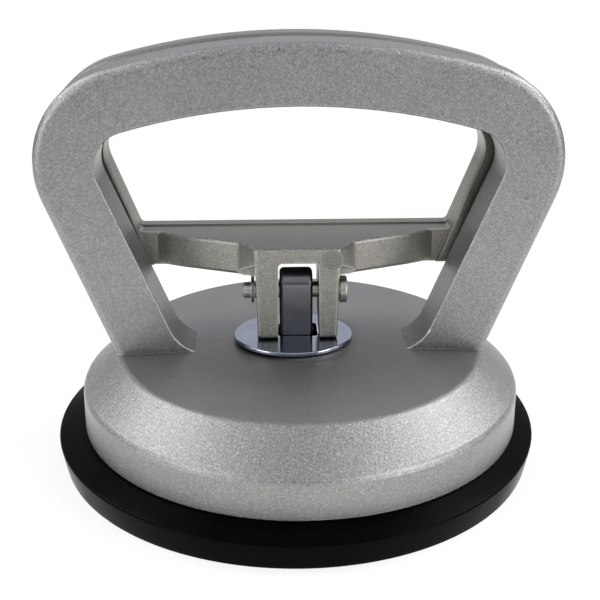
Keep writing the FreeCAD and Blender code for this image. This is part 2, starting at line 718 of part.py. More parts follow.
def pin_clip():
    """Open retaining clip that snaps into the pin groove from below."""
    clip_x = arm_outer_x(-1) - SIDE_PLAY - CLIP_T
    ring = Part.makeCylinder(CLIP_OD / 2.0, CLIP_T, V(clip_x, 0, PIVOT_Z), V(1, 0, 0))
    ring = ring.cut(Part.makeCylinder(CLIP_GROOVE_D / 2.0 + 0.03, CLIP_T + 2, V(clip_x - 1, 0, PIVOT_Z), V(1, 0, 0)))
    half = math.radians(CLIP_MOUTH_DEG / 2.0)
    far = CLIP_OD
    mouth = Part.Face(Part.makePolygon([
        yz(0, 0),
        yz(-far * math.sin(half), -far * math.cos(half)),
        yz(far * math.sin(half), -far * math.cos(half)),
        yz(0, 0),
    ]))
    mouth = moved(mouth, clip_x - 1, 0, PIVOT_Z).extrude(V(CLIP_T + 2, 0, 0))
    return ring.cut(mouth)


PIECES = {
    "body_casting": body_casting,
    "lever_casting": lever_casting,
    "drawbar": drawbar,
    "pivot_pin": pivot_pin,
    "pin_clip": pin_clip,
    "pressure_washer": pressure_washer,
    "rubber_pad": rubber_pad,
    "pad_insert_plate": pad_insert_plate,
}


def main():
    os.makedirs("parts", exist_ok=True)
    for name, make in PIECES.items():
        shape = make()
        solids = shape.Solids
        shape = solids[0] if len(solids) == 1 else Part.makeCompound(solids)
        box = shape.BoundBox
        print(name, len(solids), shape.isValid(), round(shape.Volume, 1),
              [round(v, 2) for v in (box.XMin, box.XMax, box.YMin, box.YMax, box.ZMin, box.ZMax)])
        shape.exportStep("parts/%s.step" % name)


main()
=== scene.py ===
import json
import math

import bmesh
import bpy
from bpy.props import FloatProperty, FloatVectorProperty, PointerProperty
from bpy.types import Operator, Panel, PropertyGroup
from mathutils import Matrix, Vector


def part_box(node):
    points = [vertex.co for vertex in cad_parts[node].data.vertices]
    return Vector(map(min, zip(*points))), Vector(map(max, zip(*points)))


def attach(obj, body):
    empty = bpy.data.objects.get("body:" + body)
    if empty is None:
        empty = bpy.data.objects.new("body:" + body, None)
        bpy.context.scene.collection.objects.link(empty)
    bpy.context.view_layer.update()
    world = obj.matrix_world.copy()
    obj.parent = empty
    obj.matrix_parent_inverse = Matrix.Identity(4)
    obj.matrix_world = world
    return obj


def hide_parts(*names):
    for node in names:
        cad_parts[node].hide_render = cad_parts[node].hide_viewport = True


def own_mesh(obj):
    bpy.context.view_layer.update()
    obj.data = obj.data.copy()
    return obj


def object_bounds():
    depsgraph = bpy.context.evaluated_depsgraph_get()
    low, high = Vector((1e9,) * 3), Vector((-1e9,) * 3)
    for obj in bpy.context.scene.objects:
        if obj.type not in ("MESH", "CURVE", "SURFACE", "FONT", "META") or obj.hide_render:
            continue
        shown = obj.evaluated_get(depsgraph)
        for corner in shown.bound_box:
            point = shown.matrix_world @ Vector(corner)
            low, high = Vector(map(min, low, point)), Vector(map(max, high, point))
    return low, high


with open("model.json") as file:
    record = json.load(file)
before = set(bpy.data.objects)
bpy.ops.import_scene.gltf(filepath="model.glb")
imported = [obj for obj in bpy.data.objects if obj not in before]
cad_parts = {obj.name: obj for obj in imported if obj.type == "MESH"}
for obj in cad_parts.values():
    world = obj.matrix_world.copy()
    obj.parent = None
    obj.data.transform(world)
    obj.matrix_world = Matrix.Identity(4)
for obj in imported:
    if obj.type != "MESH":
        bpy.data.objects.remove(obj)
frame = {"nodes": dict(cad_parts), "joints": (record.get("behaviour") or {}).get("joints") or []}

bl_info = {
    "name": "Tile suction lifter dressing",
    "version": (1, 0, 0),
    "blender": (4, 5, 0),
    "location": "3D View > Sidebar > Lifter",
    "description": "Finishes, rubber pad and studio for a cast aluminium suction lifter",
    "category": "Object",
}

MM = 0.001
CAD_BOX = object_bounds()
PAD_LOW, PAD_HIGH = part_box("rubber_pad")
BODY_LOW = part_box("body_casting")[0]
PLATE_LOW, PLATE_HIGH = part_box("pad_insert_plate")
BAR_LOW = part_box("drawbar")[0]

# Where a face's upward normal begins to count as sloping, where it counts as level, and how far a bevelled normal
# leans from the face on an edge that gets a painted highlight.
SLOPING = (0.2, 0.45)
LEVEL = (0.93, 0.99)
HIGHLIT_EDGE = (0.86, 0.99)

# What the dark and the light of the grit are times the colour of a casting, the openness of a gap below which shade is
# painted in, and the tints of nicks, of the lever's ejector mark and painted contact shade, and of painted shade in
# gaps.
GRIT_TONES = (0.63, 1.43)
GAP_SHADE_OPENNESS = (0.25, 0.7)
NICK_TINT = (0.3, 0.3, 0.3)
MARK_AND_SHADE_TINT = (0.5, 0.5, 0.49)
GAP_SHADE_TINT = (0.35, 0.35, 0.34)

# The mould's parting plane on the body, half the width of the line that it leaves, and how high up that shows.
PARTING_Y = -1.5 * MM
PARTING_HALF_WIDTH = 0.35 * MM
PARTING_TOP = 28.2 * MM

# The ejector pin's mark on the lever: its middle, where it fades out, and the plane that it lies in front of.
EJECTOR_MIDDLE = (7.75 * MM, 0, 50.46 * MM)
EJECTOR_FADE = (2.6 * MM, 2.9 * MM)
EJECTOR_FRONT = -5.0 * MM

# The lever loop's face against the handle: depths, heights and half widths between which its painted shade fades.
CONTACT_DEPTH = (8.6 * MM, 11 * MM)
CONTACT_HEIGHT = (78 * MM, 84 * MM)
CONTACT_HALF_WIDTH = (40 * MM, 43 * MM)

# The pad has this many sealing grooves, and its corners look sharp from this angle on.
GROOVES = 3
CRISP_CORNER = math.radians(40)

# The paper floor in metres, and how far it lies under the lifter. Its glow in reflections and the light that it takes
# from the lamps change between these distances from the middle, and near the lifter this much of it is its own light.
FLOOR_RADIUS = 3.0
FLOOR_GAP = 0.05 * MM
GLOW_FALL = (0.12, 0.75)
LAMP_FALL = (0.12, 0.5)
OWN_LIGHT = 0.8

# The upward part of the direction between which the room goes from the tone at eye level to that of the ceiling.
ROOM_RISE = (0.12, 0.4)

# Softboxes: name, place in metres, side in metres, and the setting that holds the power. They point at LAMP_AIM.
LAMP_AIM = (0, 0, 0.03)
SOFTBOXES = (
    ("softbox_left", (-0.62, 0.12, 0.62), 0.45, "left_power"),
    ("softbox_right", (0.62, 0.12, 0.62), 0.45, "right_power"),
    ("low_box_left", (-0.8, -0.6, 0.3), 0.4, "low_left_power"),
    ("low_box_right", (0.8, -0.6, 0.3), 0.4, "low_right_power"),
)


def linear(code):
    """sRGB hex colour as linear red, green and blue."""
    values = [int(code[i:i + 2], 16) / 255 for i in (1, 3, 5)]
    return [v / 12.92 if v <= 0.04045 else ((v + 0.055) / 1.055) ** 2.4 for v in values]


def colour(name, description, code):
    """Colour setting with an sRGB hex colour as its default."""
    return FloatVectorProperty(name=name, description=description, subtype="COLOR", size=3, min=0, max=1,
                               default=linear(code))


def length(name, description, metres):
    """Length setting."""
    return FloatProperty(name=name, description=description, unit="LENGTH", min=0, default=metres)


class LifterPad(PropertyGroup):
    """Sizes of the rubber pad that the modelled section needs"""
    seal_radius: length("Seal radius", "Radius of the edge that touches the tile", 60.0 * MM)
    seal_bevel: length("Seal bevel", "Width of the bevel round the edge that touches the tile", 0.2 * MM)
    seal_height: length("Seal height", "Height of the bevel round the edge that touches the tile", 1.0 * MM)
    edge_radius: length("Edge radius", "Radius of the pad's upper edge", 61.0 * MM)
    edge_height: length("Edge height", "Height of the pad's upper edge", 6.6 * MM)
    seat_radius: length("Seat radius", "Radius where the skirt's outside meets the pad", 55.6 * MM)
    seat_height: length("Seat height", "Height of the face that the skirt presses", BODY_LOW.z)
    ring_radius: length("Ring radius", "Inner radius of the flat sealing ring", 46.0 * MM)
    dome: length("Dome", "Height of the drawn-up middle over the tile", 3.0 * MM)
    diaphragm: length("Diaphragm", "Thickness of the thin rubber between ring and hub", 3.4 * MM)
    hub_radius: length("Hub radius", "Radius of the thick middle round the plate", 19.0 * MM)
    hub_height: length("Hub height", "Top of the thick middle", PAD_HIGH.z)
    hub_draft: length("Hub draft", "How much wider the thick middle is at its foot", 1.2 * MM)
    locator_radius: length("Locator radius", "Radius of the raised ring inside the skirt", 50.45 * MM)
    locator_height: length("Locator height", "Height of the raised ring over the seat", 1.6 * MM)
    locator_draft: length("Locator draft", "How much narrower the raised ring is at its top", 0.3 * MM)
    locator_width: length("Locator width", "From the outside of the raised ring to where its top ends", 3.0 * MM)
    locator_foot: length("Locator foot", "From the outside of the raised ring to its inner foot", 5.0 * MM)
    groove: length("Groove depth", "Depth of the sealing grooves under the ring", 0.7 * MM)
    groove_mouth: length("Groove mouth", "Half width of a groove where it opens", 0.7 * MM)
    groove_floor: length("Groove floor", "Half width of a groove at its bottom", 0.47 * MM)
    groove_first: length("First groove", "Radius of the innermost groove", 49.0 * MM)
    groove_pitch: length("Groove pitch", "Distance between the grooves", 3.2 * MM)
    dome_flat: length("Dome flat", "Radius of the flat middle of the dome", 17.0 * MM)
    neck: length("Neck", "Radius of the hole that the drawbar comes through", 5.6 * MM)
    plate_radius: length("Plate hollow", "Radius of the hollow round the plate", 15.05 * MM)
    rivet_radius: length("Rivet hollow", "Radius of the hollow round the riveted end of the bar", 4.45 * MM)
    clearance: length("Clearance", "Gap between the rubber and the steel in it", 0.05 * MM)


class LifterColours(PropertyGroup):
    """Colours of the finishes"""
    body: colour("Body aluminium", "Blasted cast aluminium of body and handle", "#8F8E8C")
    lever: colour("Lever aluminium", "Blasted cast aluminium of the lever, a little warmer", "#97958E")
    plating: colour("Zinc plating", "Bright zinc plate on the washer", "#8D929E")
    steel: colour("Bar steel", "Dull zinc plate on the bar", "#6C6E70")
    pin: colour("Pin steel", "Plain steel of the pivot pin", "#A6A49C")
    spring: colour("Spring steel", "Oiled spring steel of the clip", "#66655F")
    insert: colour("Plain steel", "Bare steel of the plate in the pad", "#8A8A8A")
    rubber: colour("Rubber", "Moulded black rubber", "#020202")
    backdrop: colour("Backdrop", "White of the floor and the backdrop", "#FFFFFF")
    daylight: colour("Room light", "Cool light of the room behind and above, as reflections see it", "#F3F5FF")


class LifterStudio(PropertyGroup):
    """Camera and lamps"""
    lens: FloatProperty(name="Lens", description="Focal length on a 36 mm sensor", min=10, default=62.5)
    camera_x: FloatProperty(name="Camera X", description="Camera position along the handle", unit="LENGTH",
                            default=-8.98 * MM)
    camera_y: FloatProperty(name="Camera Y", description="Camera position in front of the handle", unit="LENGTH",
                            default=-244.84 * MM)
    camera_z: FloatProperty(name="Camera Z", description="Camera height over the tile", unit="LENGTH",
                            default=134.7 * MM)
    pitch: FloatProperty(name="Pitch", description="Angle of the camera below level", unit="ROTATION",
                         subtype="ANGLE", default=math.radians(21.54))
    yaw: FloatProperty(name="Yaw", description="Turn of the camera about the vertical", unit="ROTATION",
                       subtype="ANGLE", default=math.radians(-2.1))
    left_power: FloatProperty(name="Left lamp", description="Power of the high left softbox", unit="POWER",
                              default=3.9)
    right_power: FloatProperty(name="Right lamp", description="Power of the high right softbox", unit="POWER",
                               default=5.3)
    low_left_power: FloatProperty(name="Low left lamp", description="Power of the low softbox in front on the left",
                                  unit="POWER", default=4.1)
    low_right_power: FloatProperty(name="Low right lamp", description="Power of the low softbox in front on the right",
                                   unit="POWER", default=4.9)
    ceiling: FloatProperty(name="Ceiling", description="Brightness of the ceiling in reflections", min=0, default=1.02)
    horizon: FloatProperty(name="Horizon", description="Brightness of the room at eye level in reflections", min=0,
                           default=0.16)
    table: FloatProperty(name="Table", description="Brightness of the white floor near the lifter in reflections",
                         min=0, default=1.74)
    table_far: FloatProperty(name="Far table", description="Brightness of the floor's far parts in reflections", min=0,
                             default=0.55)
    sky: FloatProperty(name="Sky", description="Strength of the room light on matt surfaces", min=0, default=0.55)


def add(tree, kind, settings=None, links=None):
    """Adds a node, sets its properties and inputs, and links its inputs from other nodes' outputs."""
    node = tree.nodes.new(kind)
    for key, value in (settings or {}).items():
        if isinstance(key, str) and hasattr(node, key) and key not in node.inputs:
            setattr(node, key, value)
        else:
            node.inputs[key].default_value = value
    for key, source in (links or {}).items():
        tree.links.new(source, node.inputs[key])
    return node


def new_material(name):
    """An empty node material with its output."""
    made = bpy.data.materials.new(name)
    made.use_nodes = True
    tree = made.node_tree
    tree.nodes.clear()
    return made, tree, add(tree, "ShaderNodeOutputMaterial")


def spread(tree, source, low, high, start=0.3, stop=0.7):
    """Maps a pattern from start..stop to low..high."""
    return add(tree, "ShaderNodeMapRange", {1: start, 2: stop, 3: low, 4: high}, {0: source}).outputs[0]


def shade(tree, source, rgb, dark, light):
    """A colour that varies in brightness from dark to light times rgb as source goes from 0 to 1."""
    ends = {6: [c * dark for c in rgb] + [1], 7: [min(1, c * light) for c in rgb] + [1]}
    return add(tree, "ShaderNodeMix", {"data_type": "RGBA", **ends}, {"Factor": source}).outputs[2]


def stain(tree, factor, under, rgb, blend="MULTIPLY"):
    """Lays rgb over the colour under, as far as factor goes."""
    return add(tree, "ShaderNodeMix", {"data_type": "RGBA", "blend_type": blend, 7: list(rgb) + [1]},
               {"Factor": factor, 6: under}).outputs[2]


def worn_edges(tree, radius):
    """1 on convex and concave edges within radius, 0 on plain faces."""
    bent = add(tree, "ShaderNodeBevel", {"Radius": radius, "samples": 6}).outputs[0]
    face = add(tree, "ShaderNodeNewGeometry").outputs["True Normal"]
    same = add(tree, "ShaderNodeVectorMath", {"operation": "DOT_PRODUCT"}, {0: bent, 1: face})
    return spread(tree, same.outputs["Value"], 1, 0, *HIGHLIT_EDGE)


def brightened(rgb, times):
    """A colour made lighter, at most to white."""
    return [min(1, c * times) for c in rgb]


def blasted_aluminium(name, rgb, roughness, level, wear, marks):
    """Die cast aluminium, shot blasted. The shot leaves dimples that each catch the light, so it looks like fine
    bright grit, and the skin of the casting clouds softly over a few centimetres. level is the tone of level faces
    from 0 to 1, wear how much lighter the painted highlight makes edges, and marks adds what only this
    casting has: its grit's height and its own dark places."""
    made, tree, out = new_material(name)
    place = add(tree, "ShaderNodeTexCoord").outputs["Object"]
    # Dimples of about 0.42 mm, drawn a little coarser than the real 0.3 mm shot marks so that they show.
    grit = add(tree, "ShaderNodeTexNoise", {"Scale": 1 / (0.42 * MM), "Detail": 3, "Roughness": 0.7},
               {"Vector": place}).outputs["Fac"]
    # Single bright facets, 0.8 mm apart.
    facet = add(tree, "ShaderNodeTexVoronoi", {"feature": "F1", "Scale": 1 / (0.8 * MM), "Randomness": 1},
                {"Vector": place}).outputs["Distance"]
    # Clouding of the cast skin, 18 mm.
    cloud = add(tree, "ShaderNodeTexNoise", {"Scale": 1 / (18 * MM), "Detail": 4, "Roughness": 0.55},
                {"Vector": place}).outputs["Fac"]
    # Nicks from use, 0.6 mm wide and about 8 mm apart.
    nick = add(tree, "ShaderNodeTexVoronoi", {"feature": "F1", "Scale": 1 / (8 * MM), "Randomness": 1},
               {"Vector": place}).outputs["Distance"]

    sparkle = spread(tree, facet, 0.55, 0, 0, 0.33)
    tone = add(tree, "ShaderNodeMath", {"operation": "ADD", "use_clamp": True},
               {0: spread(tree, grit, 0, 0.7), 1: sparkle}).outputs[0]
    # Level faces are smoother than upright ones, so the grit fades there, and sloping faces are the coarsest.
    normal = add(tree, "ShaderNodeNewGeometry").outputs["True Normal"]
    up = add(tree, "ShaderNodeSeparateXYZ", None, {0: normal}).outputs["Z"]
    # The grit's contrast is 0.35 on level faces, 1 on upright ones and 1.3 on sloping ones.
    upright = spread(tree, up, 1.0, 0.35, *LEVEL)
    depth = add(tree, "ShaderNodeMath", {"operation": "MULTIPLY"},
                {0: upright, 1: spread(tree, up, 1.0, 1.3, *SLOPING)}).outputs[0]
    even = add(tree, "ShaderNodeMix", {"data_type": "FLOAT", "A": level, "clamp_factor": False},
               {"Factor": depth, "B": tone}).outputs[0]
    base = stain(tree, spread(tree, nick, 0.75, 0, 0.02, 0.05), shade(tree, even, rgb, *GRIT_TONES), NICK_TINT)
    clouding = shade(tree, spread(tree, cloud, 0, 1), (1, 1, 1), 0.9, 1.0)
    cloudy = add(tree, "ShaderNodeMix", {"data_type": "RGBA", "blend_type": "MULTIPLY", "Factor": 1.0},
                 {6: base, 7: clouding}).outputs[2]

    # Painted shade in narrow gaps, such as the one between handle and lever, where little open air lies within 5 mm.
    open_air = add(tree, "ShaderNodeAmbientOcclusion", {"samples": 8, "Distance": 5 * MM}).outputs["AO"]
    gap_shade = spread(tree, open_air, 1, 0, *GAP_SHADE_OPENNESS)
    # dull holds the casting's own dark places: on the lever, its ejector mark and the painted shade against the
    # handle.
    height, dull = marks(tree, place, grit)
    gap_shaded = stain(tree, gap_shade, stain(tree, dull, cloudy, MARK_AND_SHADE_TINT), GAP_SHADE_TINT)
    # Painted highlight on edges over 0.7 mm: lighter in colour and a little smoother, but not on marks or painted
    # shade.
    kept = add(tree, "ShaderNodeMath", {"operation": "MAXIMUM"}, {0: dull, 1: gap_shade}).outputs[0]
    edge_highlight = add(tree, "ShaderNodeMath", {"operation": "SUBTRACT", "use_clamp": True},
                 {0: worn_edges(tree, 0.7 * MM), 1: kept}).outputs[0]
    lighter = stain(tree, edge_highlight, gap_shaded, brightened(rgb, wear), "MIX")

    strength = add(tree, "ShaderNodeMath", {"operation": "MULTIPLY", 1: 0.65}, {0: depth}).outputs[0]
    bump = add(tree, "ShaderNodeBump", {"Distance": 0.12 * MM}, {"Strength": strength, "Height": height})
    gloss = add(tree, "ShaderNodeMath", {"operation": "MULTIPLY"},
                {0: spread(tree, grit, roughness - 0.06, roughness + 0.08),
                 1: spread(tree, upright, 1.08, 1.0, 0.35, 1)}).outputs[0]
    polish = add(tree, "ShaderNodeMath", {"operation": "MULTIPLY_ADD", 1: -0.08}, {0: edge_highlight, 2: gloss}).outputs[0]
    skin = add(tree, "ShaderNodeBsdfPrincipled", {"Metallic": 1.0},
               {"Base Color": lighter, "Normal": bump.outputs[0], "Roughness": polish})
    tree.links.new(skin.outputs[0], out.inputs[0])
    return made


def bright_plating(name, rgb, roughness, scratch):
    """Plated or bare steel: from nearly a mirror to a dull sheen, with faint turned or drawn lines. scratch is the
    scale of the lines along X, Y and Z, small along the direction in which they run."""
    made, tree, out = new_material(name)
    place = add(tree, "ShaderNodeTexCoord").outputs["Object"]
    # Tool lines 0.15 mm apart.
    along = add(tree, "ShaderNodeMapping", {"Scale": scratch}, {"Vector": place}).outputs[0]
    line = add(tree, "ShaderNodeTexNoise", {"Scale": 1 / (0.15 * MM), "Detail": 2}, {"Vector": along}).outputs["Fac"]
    # Passivation clouds of 6 mm, in colour and gloss.
    cloud = add(tree, "ShaderNodeTexNoise", {"Scale": 1 / (6 * MM), "Detail": 3}, {"Vector": place}).outputs["Fac"]
    bump = add(tree, "ShaderNodeBump", {"Strength": 0.12, "Distance": 0.02 * MM}, {"Height": line})
    # Painted highlight: the edges are drawn lighter over 0.5 mm.
    clouded = shade(tree, spread(tree, cloud, 0, 1), rgb, 0.86, 1.08)
    worn = stain(tree, worn_edges(tree, 0.5 * MM), clouded, brightened(rgb, 3), "MIX")
    skin = add(tree, "ShaderNodeBsdfPrincipled", {"Metallic": 1.0},
               {"Base Color": worn, "Normal": bump.outputs[0],
                "Roughness": spread(tree, cloud, roughness - 0.03, roughness + 0.06)})
    tree.links.new(skin.outputs[0], out.inputs[0])
    return made


def moulded_rubber(name, rgb):
    """Black nitrile rubber from a polished mould: dull, with a weak sheen, fine pores and a little dust bloom."""
    made, tree, out = new_material(name)
    place = add(tree, "ShaderNodeTexCoord").outputs["Object"]
    # Pores of the mould skin, 0.35 mm.
    pores = add(tree, "ShaderNodeTexNoise", {"Scale": 1 / (0.35 * MM), "Detail": 3}, {"Vector": place}).outputs["Fac"]
    # Bloom and handling marks over 12 mm.
    bloom = add(tree, "ShaderNodeTexNoise", {"Scale": 1 / (12 * MM), "Detail": 5}, {"Vector": place}).outputs["Fac"]
    bump = add(tree, "ShaderNodeBump", {"Strength": 0.2, "Distance": 0.05 * MM}, {"Height": pores})
    skin = add(tree, "ShaderNodeBsdfPrincipled", {"Metallic": 0.0, "IOR": 1.52, "Specular IOR Level": 0.02},
               {"Base Color": shade(tree, spread(tree, bloom, 0, 1), rgb, 0.8, 1.5), "Normal": bump.outputs[0],
                "Roughness": spread(tree, bloom, 0.24, 0.4)})
    tree.links.new(skin.outputs[0], out.inputs[0])
    return made


def finish_node(node, material):
    """Puts one material on a carried CAD node."""
    mesh = frame["nodes"][node].data
    mesh.materials.clear()
    mesh.materials.append(material)


def lathe(name, profile, centre, steps=160):
    """Turned piece from (radius, height) points in metres, open or closed on the axis."""
    work = bmesh.new()
    rings = []
    for i in range(steps):
        angle = 2 * math.pi * i / steps
        rings.append([work.verts.new((centre[0] + r * math.cos(angle), centre[1] + r * math.sin(angle), z))
                      for r, z in profile])
    for here, after in zip(rings, rings[1:] + rings[:1]):
        for k in range(len(profile) - 1):
            work.faces.new((here[k], after[k], after[k + 1], here[k + 1]))
    bmesh.ops.remove_doubles(work, verts=work.verts, dist=1e-7)
    bmesh.ops.recalc_face_normals(work, faces=work.faces)
    for face in work.faces:
        face.smooth = True
    mesh = bpy.data.meshes.new(name)
    work.to_mesh(mesh)
    work.free()
    made = bpy.data.objects.new(name, mesh)
    bpy.context.scene.collection.objects.link(made)
    return made


def rounded(points, steps=5):
    """Points along a line through (radius, height, rounding) corners, with its corners rounded off."""
    result = []
    for i, (r, z, size) in enumerate(points):
        here = Vector((r, z))
        if size == 0 or i in (0, len(points) - 1):
            result.append((r, z))
            continue
        back = (Vector(points[i - 1][:2]) - here).normalized()
        ahead = (Vector(points[i + 1][:2]) - here).normalized()
        half = back.angle(ahead) / 2
        reach = size / math.tan(half)
        start = here + back * reach
        stop = here + ahead * reach
        for k in range(steps + 1):
            t = k / steps
            p = start * (1 - t) ** 2 + here * 2 * t * (1 - t) + stop * t ** 2
            result.append((p.x, p.y))
    return result


class LIFTER_OT_body(Operator):
    """Finish the body casting with its handle"""
    bl_idname = "lifter.body"
    bl_label = "Body casting"

    def execute(self, context):
        rgb = list(context.scene.lifter_colours.body)
        finish_node("body_casting", blasted_aluminium(
            "blasted_cast_aluminium", rgb, roughness=0.44, level=0.55, wear=2.3, marks=body_marks))
        return {"FINISHED"}


def body_marks(tree, place, grit):
    """The faint parting line of the mould, as extra height of the grit, and no dark places."""
    parts = add(tree, "ShaderNodeSeparateXYZ", None, {0: place})
    away = add(tree, "ShaderNodeMath", {"operation": "SUBTRACT", 1: PARTING_Y}, {0: parts.outputs["Y"]}).outputs[0]
    far = add(tree, "ShaderNodeMath", {"operation": "ABSOLUTE"}, {0: away}).outputs[0]
    line = spread(tree, far, 1, 0, 0, PARTING_HALF_WIDTH)
    low = add(tree, "ShaderNodeMath", {"operation": "LESS_THAN", 1: PARTING_TOP}, {0: parts.outputs["Z"]}).outputs[0]
    raised = add(tree, "ShaderNodeMath", {"operation": "MULTIPLY"}, {0: line, 1: low}).outputs[0]
    height = add(tree, "ShaderNodeMath", {"operation": "ADD"}, {0: grit, 1: raised}).outputs[0]
    nowhere = add(tree, "ShaderNodeValue").outputs[0]
    nowhere.default_value = 0
    return height, nowhere


class LIFTER_OT_lever(Operator):
    """Finish the lever casting"""
    bl_idname = "lifter.lever"
    bl_label = "Lever casting"

    def execute(self, context):
        rgb = list(context.scene.lifter_colours.lever)
        # level=0.1 paints shade on the lever: all of its level faces are drawn darker than the body's.
        finish_node("lever_casting", blasted_aluminium(
            "blasted_cast_aluminium_lever", rgb, roughness=0.46, level=0.1, wear=1.7, marks=lever_marks))
        return {"FINISHED"}


def lever_marks(tree, place, grit):
    """The height of the grit as it is, and the dark places: an ejector pin's round mark, and painted shade on the
    loop's face against the handle."""
    parts = add(tree, "ShaderNodeSeparateXYZ", None, {0: place})
    flat = add(tree, "ShaderNodeCombineXYZ", None, {0: parts.outputs["X"], 2: parts.outputs["Z"]}).outputs[0]
    off = add(tree, "ShaderNodeVectorMath", {"operation": "DISTANCE", 1: EJECTOR_MIDDLE}, {0: flat}).outputs["Value"]
    front = add(tree, "ShaderNodeMath", {"operation": "LESS_THAN", 1: EJECTOR_FRONT}, {0: parts.outputs["Y"]})
    # The mark is half as dark as the painted shade on the contact face.
    mark = add(tree, "ShaderNodeMath", {"operation": "MULTIPLY"},
               {0: spread(tree, off, 0.5, 0, *EJECTOR_FADE), 1: front.outputs[0]}).outputs[0]
    wide = add(tree, "ShaderNodeMath", {"operation": "ABSOLUTE"}, {0: parts.outputs["X"]}).outputs[0]
    loop = add(tree, "ShaderNodeMath", {"operation": "MAXIMUM"},
               {0: spread(tree, parts.outputs["Z"], 0, 1, *CONTACT_HEIGHT),
                1: spread(tree, wide, 0, 1, *CONTACT_HALF_WIDTH)}).outputs[0]
    contact_shade = add(tree, "ShaderNodeMath", {"operation": "MULTIPLY"},
                  {0: spread(tree, parts.outputs["Y"], 1, 0, *CONTACT_DEPTH), 1: loop}).outputs[0]
    return grit, add(tree, "ShaderNodeMath", {"operation": "MAXIMUM"}, {0: mark, 1: contact_shade}).outputs[0]


class LIFTER_OT_steel(Operator):
    """Finish the washer, drawbar, pin, clip and the plate in the pad"""
    bl_idname = "lifter.steel"
    bl_label = "Steel pieces"

    def execute(self, context):
        tones = context.scene.lifter_colours
        # Node, material, colour, roughness, and the scale of the tool lines along X, Y and Z.
        for node, name, rgb, roughness, scratch in (
                ("pressure_washer", "bright_zinc_plated_washer", tones.plating, 0.1, (1, 0.05, 1)),
                ("drawbar", "dull_zinc_plated_bar", tones.steel, 0.27, (1, 1, 0.04)),
                ("pivot_pin", "plain_steel_pin", tones.pin, 0.34, (0.05, 1, 1)),
                ("pin_clip", "oiled_spring_steel", tones.spring, 0.35, (1, 1, 1)),
                ("pad_insert_plate", "plain_rolled_steel", tones.insert, 0.4, (0.1, 1, 1))):
            finish_node(node, bright_plating(name, list(rgb), roughness, scratch))
        return {"FINISHED"}


class LIFTER_OT_pad(Operator):
    """Model the rubber pad: the ring that stays on the tile and the middle that the drawbar moves"""
    bl_idname = "lifter.pad"
    bl_label = "Rubber pad"

    def execute(self, context):
        pad = context.scene.lifter_pad
        rubber = moulded_rubber("moulded_black_rubber", list(context.scene.lifter_colours.rubber))
        centre = ((PAD_LOW.x + PAD_HIGH.x) / 2, (PAD_LOW.y + PAD_HIGH.y) / 2)
        top = pad.dome + pad.diaphragm
        locator = pad.seat_height + pad.locator_height
        grooves = []
        for i in range(GROOVES):
            r = pad.groove_first + i * pad.groove_pitch
            grooves += [(r - pad.groove_mouth, 0, 0), (r - pad.groove_floor, pad.groove, 0),
                        (r + pad.groove_floor, pad.groove, 0), (r + pad.groove_mouth, 0, 0)]
        # Corners of the ring's section: radius, height and rounding.
        section = [(pad.ring_radius, top, 0), (pad.ring_radius, 0, 0)] + grooves + [
            (pad.seal_radius - pad.seal_bevel, 0, 0.3 * MM),
            (pad.seal_radius, pad.seal_height, 0.3 * MM),
            (pad.edge_radius, pad.edge_height, 0.6 * MM),
            (pad.seat_radius, pad.seat_height, 0.2 * MM),
            (pad.locator_radius, pad.seat_height, 0),
            (pad.locator_radius - pad.locator_draft, locator, 0.4 * MM),
            (pad.locator_radius - pad.locator_width, locator, 0.8 * MM),
            (pad.locator_radius - pad.locator_foot, top, 0.4 * MM),
            (pad.ring_radius, top, 0),
        ]
        ring = lathe("pad_sealing_ring", rounded(section), centre)
        stroke = abs(min(v for j in frame["joints"] if j["name"] == "drawbar_lift" for v in j["range_m"]))
        keep = 1 - stroke / pad.hub_height
        # The flattened rubber comes down less than the steel in it, so the hollow has room under plate and bar.
        over_plate = PLATE_HIGH.z + pad.clearance
        under_plate, under_bar = ((z - stroke) / keep - pad.clearance for z in (PLATE_LOW.z, BAR_LOW.z))
        hollow = [
            (pad.neck, over_plate),
            (pad.plate_radius, over_plate),
            (pad.plate_radius, under_plate),
            (pad.rivet_radius, under_plate),
            (pad.rivet_radius, under_bar),
            (0, under_bar),
        ]
        outside = [
            (0, pad.dome, 0),
            (pad.dome_flat, pad.dome, 6.0 * MM),
            (pad.ring_radius, 0, 0),
            (pad.ring_radius, top, 0),
            (pad.hub_radius + pad.hub_draft, top, 2.5 * MM),
            (pad.hub_radius, pad.hub_height, 1.0 * MM),
            (pad.neck, pad.hub_height, 0),
        ]
        disc = lathe("pad_middle", rounded(outside) + hollow, centre)
        for piece in (ring, disc):
            piece.data.materials.append(rubber)
            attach(piece, "body")
            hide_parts("rubber_pad")
            crisp = piece.modifiers.new("crisp_corners", "EDGE_SPLIT")
            crisp.split_angle = CRISP_CORNER
        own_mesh(disc)
        return {"FINISHED"}


class LIFTER_OT_stage(Operator):
    """Set up the white floor, the soft lamps and the camera"""
    bl_idname = "lifter.stage"
    bl_label = "Studio"

    def execute(self, context):
        scene = context.scene
        studio = scene.lifter_studio
        scene.view_settings.view_transform = "Standard"
        lay_floor(scene)
        light_room(scene)
        for name, place, side, power in SOFTBOXES:
            lamp(name, place, side, getattr(studio, power))

        data = bpy.data.cameras.new("photo_camera")
        data.sensor_width = 36
        data.lens = studio.lens
        data.clip_start = 0.01
        camera = bpy.data.objects.new("photo_camera", data)
        camera.location = (studio.camera_x, studio.camera_y, studio.camera_z)
        camera.rotation_euler = (math.pi / 2 - studio.pitch, 0, studio.yaw)
        scene.collection.objects.link(camera)
        scene.camera = camera
        return {"FINISHED"}


